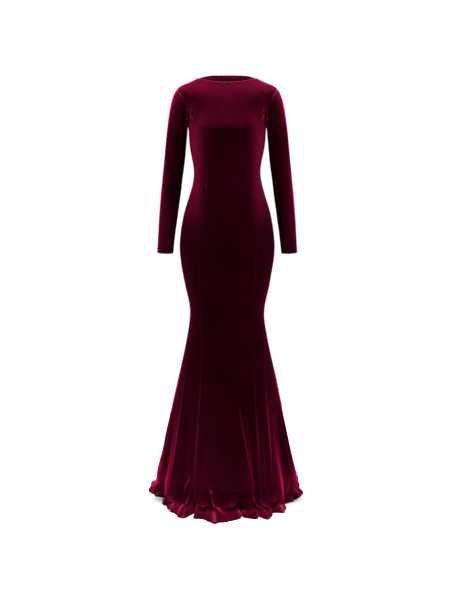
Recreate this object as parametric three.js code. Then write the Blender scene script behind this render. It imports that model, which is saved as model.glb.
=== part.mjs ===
// A floor-length fitted gown in stretch velvet, with long set-in sleeves, a boat neck and a skirt that
// flares from the knee and breaks on the floor. It keeps the hollow form it has when it is worn.
// Six body panels meet at princess seams and side seams, two tube sleeves are set into the armholes,
// and a narrow facing turns in along the neck edge.
//
// Millimetres, +Z up. The front faces -Y and the wearer's left is +X. Levels run up the cloth: below
// the underarm a level is the height above the floor, and above it the levels count on to the neck edge.
// Angles are seen from above, in degrees: 0 is the front, 90 the wearer's left and 180 the back.
import * as THREE from "three";

// Driving sizes
const HELD_HEIGHT = 1493; // the shoulder at the neck edge, above the floor
const WALL = 1.6; // velvet with its pile
const SEAM_GAP = 0.3;
const UNDERARM_LEVEL = 1330;
const SHOULDER_LEVEL = 1449;
const NECK_LEVEL = 1500;
const HEM_BREAK = 84; // the height where the skirt starts to turn out on to the floor
const HEM_LIFT = 2; // the outer face of the hem's edge, above the floor

// Sections of the body and skirt without folds. Half widths and depths are measured from the middle.
// Square is the section's exponent: 2 is an ellipse and more is squarer.
const SECTIONS = [
  { level: 0, halfWidth: 272, front: 287, back: 297, square: 2.0 },
  { level: 75, halfWidth: 254, front: 263, back: 274, square: 2.0 },
  { level: 150, halfWidth: 236, front: 240, back: 252, square: 2.0 },
  { level: 225, halfWidth: 220, front: 218, back: 230, square: 2.0 },
  { level: 300, halfWidth: 204, front: 197, back: 209, square: 2.0 },
  { level: 375, halfWidth: 188, front: 176, back: 188, square: 2.02 },
  { level: 450, halfWidth: 171.5, front: 156, back: 168, square: 2.05 },
  { level: 525, halfWidth: 155, front: 136, back: 149, square: 2.08 },
  { level: 600, halfWidth: 140.5, front: 117, back: 131, square: 2.1 },
  { level: 676, halfWidth: 133.5, front: 106, back: 119, square: 2.12 },
  { level: 750, halfWidth: 147, front: 106, back: 122, square: 2.15 },
  { level: 820, halfWidth: 160, front: 109, back: 128, square: 2.18 },
  { level: 890, halfWidth: 168.5, front: 111, back: 132, square: 2.2 },
  { level: 965, halfWidth: 164, front: 109, back: 128, square: 2.2 },
  { level: 1036, halfWidth: 149.5, front: 103, back: 112, square: 2.2 },
  { level: 1107, halfWidth: 127.5, front: 94, back: 94, square: 2.2 },
  { level: 1177, halfWidth: 117, front: 88, back: 85, square: 2.2 },
  { level: 1240, halfWidth: 127.5, front: 95, back: 93, square: 2.25 },
  { level: 1290, halfWidth: 132.5, front: 104, back: 102, square: 2.3 },
  { level: 1330, halfWidth: 136, front: 106, back: 106, square: 2.3 },
  { level: 1372, halfWidth: 147, front: 101, back: 105, square: 2.3, side: 1362, middle: 1372, nape: 1376 },
  { level: 1415, halfWidth: 163, front: 92, back: 100, square: 2.3, side: 1412, middle: 1411, nape: 1420 },
  { level: 1449, halfWidth: 173, front: 82, back: 90, square: 2.25, side: 1457, middle: 1438, nape: 1453 },
  { level: 1475, halfWidth: 140, front: 72, back: 77, square: 2.15, side: 1476, middle: 1459, nape: 1483 },
  { level: 1500, halfWidth: 102, front: 61, back: 61, square: 2.1, side: 1493, middle: 1478, nape: 1507 },
];
// How fast a ring above the underarm rises or falls from its middle to its sides.
const FRONT_BEND = 2;
const BACK_BEND = 4;

// The bust form that the princess seams shape: one mound, with a slight dip between its two sides.
const BUST = { level: 1308, size: 17, halfWidth: 104, dip: 3, dipHalfWidth: 34, above: 56, below: 58 };

// Where the princess seams lie, as distances from the middle.
const PRINCESS = [
  { level: 0, front: 124, back: 118 },
  { level: 186, front: 104, back: 104 },
  { level: 380, front: 97, back: 96 },
  { level: 676, front: 97, back: 92 },
  { level: 890, front: 102, back: 96 },
  { level: 1000, front: 101, back: 92 },
  { level: 1090, front: 84, back: 76 },
  { level: 1177, front: 71, back: 66 },
  { level: 1247, front: 92, back: 78 },
  { level: 1317, front: 110, back: 98 },
  { level: 1372, front: 124, back: 122 },
  { level: 1395, front: 131, back: 131 },
];

// The armhole is an oval in angle and level, centred on the side.
const ARMHOLE = { halfAngle: 23, steps: 10, junction: 5, tip: 1 };

// Flutes of the skirt: ridges have a size above 0 and valleys one below it. The angle is taken at the hem
// and follows the seams upwards. Top is the level where the flute fades out.
const FLUTES = [
  { angle: -90, halfAngle: 15, size: 7, top: 460 },
  { angle: -66, halfAngle: 8, size: -16, top: 430 },
  { angle: -50, halfAngle: 9, size: 17, top: 560 },
  { angle: -38, halfAngle: 6, size: -9, top: 480 },
  { angle: -25, halfAngle: 4, size: -9, top: 420 },
  { angle: -15, halfAngle: 11, size: 11, top: 520 },
  { angle: 8, halfAngle: 5.5, size: -13, top: 360 },
  { angle: 16, halfAngle: 4.5, size: 12, top: 430 },
  { angle: 22, halfAngle: 3, size: -12, top: 520 },
  { angle: 29, halfAngle: 4.5, size: 11, top: 460 },
  { angle: 43, halfAngle: 8, size: 17, top: 600 },
  { angle: 54, halfAngle: 6, size: -17, top: 430 },
  { angle: 76, halfAngle: 15, size: 5, top: 500 },
  { angle: 97, halfAngle: 7, size: -14, top: 420 },
  { angle: 112, halfAngle: 9, size: 16, top: 540 },
  { angle: 128, halfAngle: 6, size: -13, top: 430 },
  { angle: 143, halfAngle: 8, size: 15, top: 560 },
  { angle: 158, halfAngle: 5, size: -14, top: 470 },
  { angle: 172, halfAngle: 9, size: 14, top: 520 },
  { angle: 188, halfAngle: 5, size: -14, top: 400 },
  { angle: 202, halfAngle: 8, size: 16, top: 570 },
  { angle: 217, halfAngle: 6, size: -13, top: 450 },
  { angle: 233, halfAngle: 9, size: 15, top: 520 },
  { angle: 250, halfAngle: 7, size: -15, top: 420 },
];

// The hem's edge on the floor: an oval with notches where a valley folds in, and lobes between them.
const HEM_OVAL = { halfWidth: 274, front: 331, back: 336 };
const HEM_WAVES = [
  { angle: -92, halfAngle: 13, size: 16 },
  { angle: -66, halfAngle: 7.5, size: -42 },
  { angle: -50, halfAngle: 6, size: -14 },
  { angle: -29, halfAngle: 5, size: 14 },
  { angle: -24.6, halfAngle: 1.6, size: -54 },
  { angle: -17, halfAngle: 5, size: -14 },
  { angle: -8, halfAngle: 2.5, size: 12 },
  { angle: 10, halfAngle: 6.5, size: -34 },
  { angle: 9.8, halfAngle: 1.5, size: -46 },
  { angle: 21.2, halfAngle: 1.5, size: -42 },
  { angle: 25, halfAngle: 3, size: 14 },
  { angle: 34, halfAngle: 3.5, size: -14 },
  { angle: 39, halfAngle: 2, size: 8 },
  { angle: 53, halfAngle: 7, size: -36 },
  { angle: 65, halfAngle: 7, size: -12 },
  { angle: 78, halfAngle: 5, size: 3 },
  { angle: 97, halfAngle: 5, size: -36 },
  { angle: 113, halfAngle: 8, size: 12 },
  { angle: 128, halfAngle: 2.2, size: -56 },
  { angle: 144, halfAngle: 7, size: 12 },
  { angle: 156, halfAngle: 1.8, size: -60 },
  { angle: 173, halfAngle: 7, size: 8 },
  { angle: 188, halfAngle: 2.2, size: -66 },
  { angle: 205, halfAngle: 6, size: 10 },
  { angle: 217, halfAngle: 2, size: -52 },
  { angle: 234, halfAngle: 8, size: 12 },
  { angle: 251, halfAngle: 4, size: -44 },
];

// How the skirt meets the floor: the two heights that draw the cloth down, upright over a notch and rolled
// over in a lobe, the reach of a full lobe, and how far out its foot stands as a share of that reach.
const NOTCH_PULL = [28, 7];
const LOBE_PULL = [-30, 60];
const FULL_LOBE = 50;
const LOBE_FOOT = 0.35;

// Sleeve sections below the cap. Out is the sleeve's middle from the gown's, back its middle's depth.
const SLEEVE_SECTIONS = [
  { height: 889, out: 219, back: -44, halfWidth: 28.6, halfDepth: 32 },
  { height: 930, out: 216, back: -36, halfWidth: 29.2, halfDepth: 33.5 },
  { height: 1000, out: 209.8, back: -20, halfWidth: 32.2, halfDepth: 37 },
  { height: 1072, out: 202.4, back: -4, halfWidth: 34.6, halfDepth: 40 },
  { height: 1142, out: 194.4, back: 7, halfWidth: 35.7, halfDepth: 41.5 },
  { height: 1212, out: 185.8, back: 8, halfWidth: 36.6, halfDepth: 43.5 },
  { height: 1290, out: 178.4, back: 3, halfWidth: 36.4, halfDepth: 47 },
];
const CUFF_TILT = 0.05; // the cuff's outer side is higher than its inner side
const SLEEVE_SET_OUT = 0.45; // how far the sleeve stands off the armhole's edge
// The direction and reach with which the cap leaves the armhole, at the shoulder and at the underarm.
const CAP_TOP = { out: 0.8, down: 0.6, reach: 92 };
const CAP_BOTTOM = { out: 0.32, down: 0.95, reach: 36 };
const CAP_END_REACH = { top: 150, bottom: 36 };

const FACING = { level: 1488, wall: 1 };

// Rows of the body's mesh, as levels, and the columns of each panel.
const HEM_ROWS = [0, 6, 16, 29, 43, 57, 70, HEM_BREAK];
const SKIRT_ROWS = [130, 190, 260, 340, 430];
const BODY_ROWS = [520, 600, 676, 750, 820, 890, 960, 1030, 1095, 1155, 1205, 1255, 1295];
const YOKE_ROWS = [1462, 1476, FACING.level, NECK_LEVEL];
const HEM_COLUMNS = 24;
const SKIRT_COLUMNS = 16;
const BODY_COLUMNS = 8;
const YOKE_COLUMNS = 12;
const SIDE_COLUMNS = 5;
const EVEN_LEVEL = 240; // from here up a row's points lie evenly between the seams
const SLEEVE_CAP_ROWS = 6;
const SLEEVE_ROWS = 9;

const VELVET = { color: 0x4a0620, roughness: 0.85, metalness: 0 };

const radians = THREE.MathUtils.degToRad;
const turn = (angle) => THREE.MathUtils.euclideanModulo(angle + 180, 360) - 180;
const bell = (x) => Math.exp(-x * x);
const mix = THREE.MathUtils.lerp;

// A natural cubic spline through one column of a table, as a function of another column.
function splineOf(rows, key, by, fallback = by) {
  const x = rows.map((row) => row[by]);
  const y = rows.map((row) => row[key] ?? row[fallback]);
  const last = x.length - 1;
  const bend = new Array(last + 1).fill(0);
  const carry = new Array(last + 1).fill(0);
  for (let i = 1; i < last; i++) {
    const share = (x[i] - x[i - 1]) / (x[i + 1] - x[i - 1]);
    const pivot = share * bend[i - 1] + 2;
    const slopes = (y[i + 1] - y[i]) / (x[i + 1] - x[i]) - (y[i] - y[i - 1]) / (x[i] - x[i - 1]);
    bend[i] = (share - 1) / pivot;
    carry[i] = ((6 * slopes) / (x[i + 1] - x[i - 1]) - share * carry[i - 1]) / pivot;
  }
  for (let i = last - 1; i > 0; i--) bend[i] = bend[i] * bend[i + 1] + carry[i];
  bend[0] = 0;
  bend[last] = 0;
  return (at) => {
    let i = 0;
    while (i < last - 1 && at > x[i + 1]) i++;
    const step = x[i + 1] - x[i];
    const b = (at - x[i]) / step;
    const a = 1 - b;
    const curve = ((a ** 3 - a) * bend[i] + (b ** 3 - b) * bend[i + 1]) * step ** 2;
    return a * y[i] + b * y[i + 1] + curve / 6;
  };
}

const section = {};
for (const key of ["halfWidth", "front", "back", "square", "side", "middle", "nape"]) {
  section[key] = splineOf(SECTIONS, key, "level");
}

// The radius of a section without folds, at an angle in degrees.
function plainRadius(angle, level) {
  const across = Math.abs(Math.sin(radians(angle)));
  const along = Math.cos(radians(angle));
  const depth = along > 0 ? section.front(level) : section.back(level);
  const power = section.square(level);
  const shape = (across / section.halfWidth(level)) ** power + (Math.abs(along) / depth) ** power;
  return shape ** (-1 / power);
}

// The angle where a section's outline is a given distance from the middle, on the front or the back.
function angleAcross(distance, level, onBack) {
  const depth = onBack ? section.back(level) : section.front(level);
  const power = section.square(level);
  const along = depth * (1 - (distance / section.halfWidth(level)) ** power) ** (1 / power);
  const angle = THREE.MathUtils.radToDeg(Math.atan2(distance, along));
  return onBack ? 180 - angle : angle;
}

const princessFront = splineOf(PRINCESS, "front", "level");
const princessBack = splineOf(PRINCESS, "back", "level");

// The rows of the armhole: level and half opening in degrees, from the underarm to the shoulder.
const armholeRows = Array.from({ length: ARMHOLE.steps + 1 }, (_, k) => armholeAt((Math.PI * k) / ARMHOLE.steps));

// The phase runs from 0 at the underarm up the front edge to PI at the shoulder and down the back edge.
function armholeAt(phase) {
  const turned = phase > Math.PI ? 2 * Math.PI - phase : phase;
  const rise = (turned / Math.PI + (1 - Math.cos(turned)) / 2) / 2;
  const open = ARMHOLE.halfAngle * Math.sqrt(Math.max(0, 1 - (1 - 2 * rise) ** 2));
  return { level: mix(UNDERARM_LEVEL, SHOULDER_LEVEL, rise), open: phase > Math.PI ? -open : open };
}

// The seams round the body at a level, as angles that rise from the wearer's back right to the back right again.
// Above the princess seams' ends, the seams are the armhole's edge and then the shoulder seam.
function seamAngles(level) {
  const junction = armholeRows[ARMHOLE.junction];
  if (level > junction.level + 1) {
    const row = armholeRows.find((r) => Math.abs(r.level - level) < 0.5);
    const open = row ? row.open : 0;
    return { front: 90 - open, back: 90 + open };
  }
  const atJunction = { front: 90 - junction.open - ARMHOLE.tip, back: 90 + junction.open + ARMHOLE.tip };
  const near = THREE.MathUtils.smoothstep(level, 1250, junction.level);
  const front = angleAcross(princessFront(level), level, false);
  const back = angleAcross(princessBack(level), level, true);
  return { front: mix(front, atJunction.front, near), back: mix(back, atJunction.back, near) };
}

// Carries an angle at the hem up the panels, so that a flute keeps its place between two seams.
function followSeams(angle, level) {
  const at = seamAngles(Math.min(level, UNDERARM_LEVEL));
  const low = seamAngles(0);
  const stops = [-180, -low.back, -90, -low.front, low.front, 90, low.back, 180];
  const moved = [-180, -at.back, -90, -at.front, at.front, 90, at.back, 180];
  const a = turn(angle);
  let i = 0;
  while (i < stops.length - 2 && a > stops[i + 1]) i++;
  return mix(moved[i], moved[i + 1], (a - stops[i]) / (stops[i + 1] - stops[i]));
}

// How far the skirt's flutes push the cloth in or out.
function fluteDepth(angle, level) {
  let depth = 0;
  for (const flute of FLUTES) {
    if (level >= flute.top) continue;
    const reach = (1 - level / flute.top) ** 1.25;
    const middle = followSeams(flute.angle, level);
    const width = flute.halfAngle * (1 + 0.9 * (level / flute.top));
    depth += flute.size * reach * bell(turn(angle - middle) / width);
  }
  return depth;
}

function bustDepth(angle, level) {
  if (Math.abs(angle) > 90) return 0;
  const across = plainRadius(angle, level) * Math.sin(radians(angle));
  const rise = level - BUST.level;
  const up = bell(rise / (rise > 0 ? BUST.above : BUST.below));
  const wide = Math.exp(-((across / BUST.halfWidth) ** 4));
  return up * (BUST.size * wide - BUST.dip * bell(across / BUST.dipHalfWidth));
}

// The radius of the hem's edge on the floor.
function hemRadius(angle) {
  const across = Math.sin(radians(angle)) / HEM_OVAL.halfWidth;
  const along = Math.cos(radians(angle));
  const depth = along > 0 ? HEM_OVAL.front : HEM_OVAL.back;
  let radius = 1 / Math.hypot(across, along / depth);
  for (const wave of HEM_WAVES) radius += wave.size * bell(turn(angle - wave.angle) / wave.halfAngle);
  return radius;
}

const bezier = (a, b, c, d, t) =>
  a * (1 - t) ** 3 + 3 * b * t * (1 - t) ** 2 + 3 * c * t ** 2 * (1 - t) + d * t ** 3;

// A point of the body's outer face.
function bodyPoint(angle, level) {
  let radius;
  let height;
  if (level >= HEM_BREAK) {
    radius = plainRadius(angle, level) + fluteDepth(angle, level);
    const across = Math.min(1, (Math.abs(Math.sin(radians(angle))) * radius) / section.halfWidth(level));
    const onBack = Math.cos(radians(angle)) < 0;
    const middle = onBack ? section.nape(level) : section.middle(level);
    height = mix(middle, section.side(level), across ** (onBack ? BACK_BEND : FRONT_BEND));
    radius += bustDepth(angle, level);
  } else {
    const start = plainRadius(angle, HEM_BREAK) + fluteDepth(angle, HEM_BREAK);
    const above = plainRadius(angle, HEM_BREAK + 1) + fluteDepth(angle, HEM_BREAK + 1);
    const lean = ((start - above) * HEM_BREAK) / 2;
    const spread = hemRadius(angle) - start;
    const lobe = THREE.MathUtils.smoothstep(spread, 0, FULL_LOBE);
    const share = 1 - level / HEM_BREAK;
    const [first, last] = [0, 1].map((i) => mix(NOTCH_PULL[i], LOBE_PULL[i], lobe));
    radius = bezier(start, start + lean, start + LOBE_FOOT * spread, start + spread, share);
    height = bezier(HEM_BREAK, first, last, HEM_LIFT, share);
  }
  return new THREE.Vector3(radius * Math.sin(radians(angle)), -radius * Math.cos(radians(angle)), height);
}

// The outward normal of a face given by two numbers, from four points around the place.
function normalOf(face, a, b, stepA, stepB) {
  const alongA = face(a + stepA, b).sub(face(a - stepA, b));
  const alongB = face(a, b + stepB).sub(face(a, b - stepB));
  return alongA.cross(alongB).normalize();
}

function bodyNormal(angle, level) {
  const safe = THREE.MathUtils.clamp(level, 1, NECK_LEVEL - 1);
  return normalOf(bodyPoint, angle, safe, 0.3, 0.6);
}

// The triangles between a lower and an upper row. Each takes the next point of the row that gives the
// shorter edge across. A tube's rows close on themselves.
function strip(low, high, isTube) {
  const lowSteps = isTube ? low.length : low.length - 1;
  const highSteps = isTube ? high.length : high.length - 1;
  const across = (i, j) => low[i % low.length].distanceTo(high[j % high.length]);
  const steps = [];
  let i = 0;
  let j = 0;
  while (i < lowSteps || j < highSteps) {
    const takeLow = j === highSteps || (i < lowSteps && across(i + 1, j) <= across(i, j + 1));
    steps.push({ i, j, takeLow });
    if (takeLow) i += 1;
    else j += 1;
  }
  return steps;
}

// One closed wall from rows of outer and inner points. Rows run upwards and their points run anticlockwise
// seen from above. Both faces are cut into triangles alike.
function wall(outer, inner, isTube) {
  const points = [];
  const number = (rows) => rows.map((row) => row.map((p) => points.push(p.x, p.y, p.z) / 3 - 1));
  const out = number(outer);
  const into = number(inner);
  const faces = [];
  const quad = (a, b, c, d) => faces.push(a, b, c, a, c, d);
  const at = (row, i) => row[i % row.length];
  const top = outer.length - 1;
  for (let r = 0; r < top; r++) {
    for (const { i, j, takeLow } of strip(outer[r], outer[r + 1], isTube)) {
      const corners = (rows) => {
        const next = takeLow ? at(rows[r], i + 1) : at(rows[r + 1], j + 1);
        return [at(rows[r], i), next, at(rows[r + 1], j)];
      };
      faces.push(...corners(out), ...corners(into).reverse());
    }
  }
  const edges = (row) => (isTube ? row.length : row.length - 1);
  for (let i = 0; i < edges(out[0]); i++) {
    quad(at(out[0], i + 1), at(out[0], i), at(into[0], i), at(into[0], i + 1));
  }
  for (let i = 0; i < edges(out[top]); i++) {
    quad(at(out[top], i), at(out[top], i + 1), at(into[top], i + 1), at(into[top], i));
  }
  for (let r = 0; r < top && !isTube; r++) {
    quad(out[r][0], out[r + 1][0], into[r + 1][0], into[r][0]);
    quad(out[r + 1].at(-1), out[r].at(-1), into[r].at(-1), into[r + 1].at(-1));
  }
  const geometry = new THREE.BufferGeometry();
  geometry.setAttribute("position", new THREE.Float32BufferAttribute(points, 3));
  geometry.setIndex(faces);
  geometry.computeVertexNormals();
  return geometry;
}

// Where a share of the hem's length between two angles falls, as a share of the turn between them.
function alongHem(from, to) {
  const steps = 240;
  const lengths = [0];
  for (let i = 1; i <= steps; i++) {
    const here = bodyPoint(mix(from, to, i / steps), 0);
    lengths.push(lengths[i - 1] + here.distanceTo(bodyPoint(mix(from, to, (i - 1) / steps), 0)));
  }
  return (share) => {
    const length = share * lengths[steps];
    const i = Math.min(steps - 1, lengths.findLastIndex((l) => l <= length));
    return (i + (length - lengths[i]) / (lengths[i + 1] - lengths[i])) / steps;
  };
}

// Rows of points between two seams, at a depth below the body's outer face. Each row gives its level,
// its first and last angle and its columns. Near the hem the points gather in the folds.
function sheetRows(rows, depth) {
  const gathered = alongHem(rows[0].from, rows[0].to);
  return rows.map(({ level, from, to, columns }) => {
    const gap = THREE.MathUtils.radToDeg(SEAM_GAP / 2 / plainRadius((from + to) / 2, level));
    const evenness = THREE.MathUtils.smoothstep(level, 0, EVEN_LEVEL);
    return Array.from({ length: columns + 1 }, (_, i) => {
      const share = mix(gathered(i / columns), i / columns, evenness);
      const angle = mix(from + gap, to - gap, share);
      return bodyPoint(angle, level).addScaledVector(bodyNormal(angle, level), -depth);
    });
  });
}

const panel = (rows) => wall(sheetRows(rows, 0), sheetRows(rows, WALL), false);

const lowerRows = (topColumns) => [
  ...HEM_ROWS.map((level) => ({ level, columns: HEM_COLUMNS })),
  ...SKIRT_ROWS.map((level) => ({ level, columns: SKIRT_COLUMNS })),
  ...BODY_ROWS.map((level) => ({ level, columns: BODY_COLUMNS })),
  { level: UNDERARM_LEVEL, columns: topColumns },
];

// The centre panels run from the hem to the neck edge, and the side panels end in a tip at the armhole.
function centreRows(onBack) {
  const across = (level, columns) => {
    const seams = seamAngles(level);
    return onBack
      ? { level, columns, from: seams.back, to: 360 - seams.back }
      : { level, columns, from: -seams.front, to: seams.front };
  };
  return [
    ...lowerRows(YOKE_COLUMNS).map(({ level, columns }) => across(level, columns)),
    ...armholeRows.slice(1).map((row) => across(row.level, YOKE_COLUMNS)),
    ...YOKE_ROWS.map((level) => across(level, YOKE_COLUMNS)),
  ];
}

function sideRows(onBack) {
  const span = (level, edge, columns) => {
    const seams = seamAngles(level);
    return onBack ? { level, columns, from: edge.back, to: seams.back } : { level, columns, from: seams.front, to: edge.front };
  };
  return [
    ...lowerRows(SIDE_COLUMNS).map(({ level, columns }) => span(level, { front: 90, back: 90 }, columns)),
    ...armholeRows.slice(1, ARMHOLE.junction + 1).map(({ level, open }, k) => {
      const columns = Math.max(1, ARMHOLE.junction - k);
      return span(level, { front: 90 - open, back: 90 + open }, columns);
    }),
  ];
}

const mirrored = (rows) => rows.map(({ level, columns, from, to }) => ({ level, columns, from: -to, to: -from }));

const sleeve = {};
for (const key of ["out", "back", "halfWidth", "halfDepth"]) {
  sleeve[key] = splineOf(SLEEVE_SECTIONS, key, "height");
}
const CUFF_HEIGHT = SLEEVE_SECTIONS[0].height;
const CAP_END_HEIGHT = SLEEVE_SECTIONS.at(-1).height;

// The edge of the left armhole.
function armholePoint(phase) {
  const { level, open } = armholeAt(phase);
  const point = bodyPoint(90 - open, level);
  point.x += SLEEVE_SET_OUT;
  return point;
}

// A point of the left sleeve below the cap, on the section at a height.
function armPoint(phase, height) {
  const nearCuff = 1 - THREE.MathUtils.smoothstep(height, CUFF_HEIGHT, CUFF_HEIGHT + 120);
  const inward = Math.cos(phase) * sleeve.halfWidth(height);
  return new THREE.Vector3(
    sleeve.out(height) - inward,
    sleeve.back(height) - Math.sin(phase) * sleeve.halfDepth(height),
    height - CUFF_TILT * nearCuff * inward,
  );
}

// A point of the left sleeve. Run goes from 0 at the armhole to 1 at the cap's end and 2 at the cuff.
function sleevePoint(phase, run) {
  if (run >= 1) return armPoint(phase, mix(CAP_END_HEIGHT, CUFF_HEIGHT, run - 1));
  const start = armholePoint(phase);
  const end = armPoint(phase, CAP_END_HEIGHT);
  const up = (1 - Math.cos(phase)) / 2;
  const leave = new THREE.Vector3(
    mix(CAP_BOTTOM.out * CAP_BOTTOM.reach, CAP_TOP.out * CAP_TOP.reach, up),
    0,
    -mix(CAP_BOTTOM.down * CAP_BOTTOM.reach, CAP_TOP.down * CAP_TOP.reach, up),
  );
  const arrive = armPoint(phase, CAP_END_HEIGHT - 1).sub(end);
  arrive.multiplyScalar(mix(CAP_END_REACH.bottom, CAP_END_REACH.top, up));
  const t = run;
  return start
    .multiplyScalar(2 * t ** 3 - 3 * t ** 2 + 1)
    .addScaledVector(leave, t ** 3 - 2 * t ** 2 + t)
    .addScaledVector(end, 3 * t ** 2 - 2 * t ** 3)
    .addScaledVector(arrive, t ** 3 - t ** 2);
}

// The sleeve's rows run upwards from the cuff, so its points run the same way round as the body's.
function sleeveGeometry(side) {
  const around = 2 * ARMHOLE.steps;
  const runs = [
    ...Array.from({ length: SLEEVE_ROWS }, (_, i) => 2 - i / SLEEVE_ROWS),
    ...Array.from({ length: SLEEVE_CAP_ROWS + 1 }, (_, i) => 1 - i / SLEEVE_CAP_ROWS),
  ];
  const outer = [];
  const inner = [];
  for (const run of runs) {
    const safe = THREE.MathUtils.clamp(run, 0.02, 1.99);
    const phases = Array.from({ length: around }, (_, i) => (2 * Math.PI * i) / around);
    const face = phases.map((phase) => sleevePoint(phase, run));
    const back = face.map((point, i) => {
      const normal = normalOf(sleevePoint, phases[i], safe, 0.02, 0.01);
      return point.clone().addScaledVector(normal, WALL);
    });
    outer.push(face);
    inner.push(back);
  }
  for (const rows of [outer, inner]) {
    for (const row of rows) {
      for (const point of row) point.x *= side;
      if (side < 0) row.reverse();
    }
  }
  return wall(outer, inner, true);
}

// A strip inside the back neck edge, made from the back panel's points moved in.
function facingGeometry() {
  const rows = centreRows(true).filter(({ level }) => level >= FACING.level);
  const start = WALL + SEAM_GAP;
  return wall(sheetRows(rows, start), sheetRows(rows, start + FACING.wall), false);
}

const gown = new THREE.Group();
gown.name = "gown";
gown.position.z = -HELD_HEIGHT;

function add(name, geometry) {
  const mesh = new THREE.Mesh(geometry, new THREE.MeshStandardMaterial(VELVET));
  mesh.name = name;
  gown.add(mesh);
}

add("centre_front", panel(centreRows(false)));
add("centre_back", panel(centreRows(true)));
add("side_front_left", panel(sideRows(false)));
add("side_front_right", panel(mirrored(sideRows(false))));
add("side_back_left", panel(sideRows(true)));
add("side_back_right", panel(mirrored(sideRows(true))));
add("sleeve_left", sleeveGeometry(1));
add("sleeve_right", sleeveGeometry(-1));
add("neck_facing_back", facingGeometry());

export default gown;
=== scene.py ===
import math

import bpy
import numpy as np
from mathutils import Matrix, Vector


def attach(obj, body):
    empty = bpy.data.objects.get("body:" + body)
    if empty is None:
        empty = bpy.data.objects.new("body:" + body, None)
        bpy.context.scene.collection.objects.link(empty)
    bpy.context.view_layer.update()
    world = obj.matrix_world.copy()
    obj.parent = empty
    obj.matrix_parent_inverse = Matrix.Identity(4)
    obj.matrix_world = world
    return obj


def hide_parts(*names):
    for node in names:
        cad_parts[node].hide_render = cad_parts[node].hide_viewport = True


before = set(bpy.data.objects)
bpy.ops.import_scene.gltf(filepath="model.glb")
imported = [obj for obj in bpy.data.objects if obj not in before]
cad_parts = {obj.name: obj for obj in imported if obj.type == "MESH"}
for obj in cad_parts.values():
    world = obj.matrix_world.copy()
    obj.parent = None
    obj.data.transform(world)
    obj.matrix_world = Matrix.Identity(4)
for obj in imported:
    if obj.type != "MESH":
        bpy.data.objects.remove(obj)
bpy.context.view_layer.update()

# A floor-length gown in burgundy stretch velvet, filled out as it is worn.
# Its sizes are in millimetres. Levels run up the cloth: below the underarm a level is the height above the
# floor, and above it the levels count on to the neck edge. Angles are seen from above, in degrees:
# 0 is the front, 90 the wearer's left and 180 the back.

# Driving sizes, the same as the solids'
HELD_HEIGHT = 1493
UNDERARM_LEVEL = 1330
SHOULDER_LEVEL = 1449
NECK_LEVEL = 1500
HEM_BREAK = 84
HEM_LIFT = 2


def table(columns, rows):
    """A short table, as one array for each named column."""
    return dict(zip(columns.split(), np.array(rows, dtype=float).T))


# Sections of the body and skirt without folds: half widths and depths from the middle, and the exponent of
# the outline. Above the underarm the side, the middle of the front and the nape lie at heights of their own.
SECTION_ROWS = [
    (0, 272, 287, 297, 2.0),
    (75, 254, 263, 274, 2.0),
    (150, 236, 240, 252, 2.0),
    (225, 220, 218, 230, 2.0),
    (300, 204, 197, 209, 2.0),
    (375, 188, 176, 188, 2.02),
    (450, 171.5, 156, 168, 2.05),
    (525, 155, 136, 149, 2.08),
    (600, 140.5, 117, 131, 2.1),
    (676, 133.5, 106, 119, 2.12),
    (750, 147, 106, 122, 2.15),
    (820, 160, 109, 128, 2.18),
    (890, 168.5, 111, 132, 2.2),
    (965, 164, 109, 128, 2.2),
    (1036, 149.5, 103, 112, 2.2),
    (1107, 127.5, 94, 94, 2.2),
    (1177, 117, 88, 85, 2.2),
    (1240, 127.5, 95, 93, 2.25),
    (1290, 132.5, 104, 102, 2.3),
    (1330, 136, 106, 106, 2.3),
    (1372, 147, 101, 105, 2.3, 1362, 1372, 1376),
    (1415, 163, 92, 100, 2.3, 1412, 1411, 1420),
    (1449, 173, 82, 90, 2.25, 1457, 1438, 1453),
    (1475, 140, 72, 77, 2.15, 1476, 1459, 1483),
    (1500, 102, 61, 61, 2.1, 1493, 1478, 1507),
]
SECTIONS = table("level half_width front back square side middle nape",
                 [row if len(row) == 8 else (*row, row[0], row[0], row[0]) for row in SECTION_ROWS])
FRONT_BEND = 2
BACK_BEND = 4

BUST = dict(level=1308, size=17, half_width=104, dip=3, dip_half_width=34, above=56, below=58)

PRINCESS = table("level front back", [
    (0, 124, 118),
    (186, 104, 104),
    (380, 97, 96),
    (676, 97, 92),
    (890, 102, 96),
    (1000, 101, 92),
    (1090, 84, 76),
    (1177, 71, 66),
    (1247, 92, 78),
    (1317, 110, 98),
    (1372, 124, 122),
    (1395, 131, 131),
])

ARMHOLE_HALF_ANGLE = 23
ARMHOLE_TIP = 1
ARMHOLE_JUNCTION = 0.5  # how far up the armhole's phase the princess seams end
SEAM_TURN_LEVEL = 1250  # where the princess seams start to turn towards the armhole
LEVEL_ROOM = 0.1  # counts the row at the junction as a row below it

# Flutes of the skirt: ridges have a size above 0 and valleys one below it. The angle is taken at the hem
# and follows the seams upwards. Top is the level where the flute fades out.
FLUTES = table("angle half_angle size top", [
    (-90, 15, 7, 460),
    (-66, 8, -16, 430),
    (-50, 9, 17, 560),
    (-38, 6, -9, 480),
    (-25, 4, -9, 420),
    (-15, 11, 11, 520),
    (8, 5.5, -13, 360),
    (16, 4.5, 12, 430),
    (22, 3, -12, 520),
    (29, 4.5, 11, 460),
    (43, 8, 17, 600),
    (54, 6, -17, 430),
    (76, 15, 5, 500),
    (97, 7, -14, 420),
    (112, 9, 16, 540),
    (128, 6, -13, 430),
    (143, 8, 15, 560),
    (158, 5, -14, 470),
    (172, 9, 14, 520),
    (188, 5, -14, 400),
    (202, 8, 16, 570),
    (217, 6, -13, 450),
    (233, 9, 15, 520),
    (250, 7, -15, 420),
])
FLUTE_FADE = 1.25  # how soon a flute loses depth on its way up
FLUTE_SPREAD = 0.9  # how much wider it grows up to its top

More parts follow.
